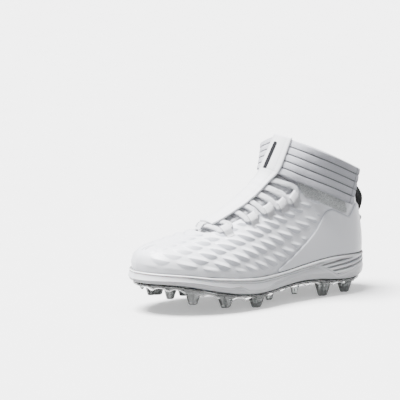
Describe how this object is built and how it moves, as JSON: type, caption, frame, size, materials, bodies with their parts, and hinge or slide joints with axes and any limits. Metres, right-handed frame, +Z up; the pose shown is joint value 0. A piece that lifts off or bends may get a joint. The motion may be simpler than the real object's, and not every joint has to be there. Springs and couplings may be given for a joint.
{
  "type": "american football cleat",
  "caption": "Mid-cut american football cleat with a moulded upper, ribbed ankle strap, covered laces, stepped white midsole and a clear studded plate.",
  "frame": {"origin": "on the floor under the middle of the shoe, standing on its ball and heel studs", "axes": "toe towards -X, heel towards +X, +Z up, outer (lateral) side towards -Y, inner side towards +Y"},
  "size_m": [0.306, 0.1103, 0.1862],
  "materials": {
    "skin": "satin white moulded synthetic skin",
    "cloth": "white woven webbing and padded knit",
    "fleece": "pale grey fleece of a hook and loop fastening",
    "foam": "white moulded foam, satin",
    "clear": "smoky translucent moulded plastic, glossy",
    "black_webbing": "black ribbed webbing"
  },
  "bodies": {
    "root": {"upper": "skin", "ankle_cuff": "cloth", "tongue": "cloth", "laces": "cloth", "lace_loop_outer_1": "cloth", "lace_loop_outer_2": "cloth", "lace_loop_outer_3": "cloth", "lace_loop_outer_4": "cloth", "lace_loop_outer_5": "cloth", "lace_loop_inner_1": "cloth", "lace_loop_inner_2": "cloth", "lace_loop_inner_3": "cloth", "lace_loop_inner_4": "cloth", "lace_loop_inner_5": "cloth", "lace_strip": "cloth", "ankle_strap": "cloth", "fastening_patch": "fleece", "heel_panel": "skin", "pull_loop": "black_webbing", "pull_loop_end": "cloth", "insole": "foam", "midsole": "foam", "outsole_plate": "clear"}
  },
  "joints": []
}
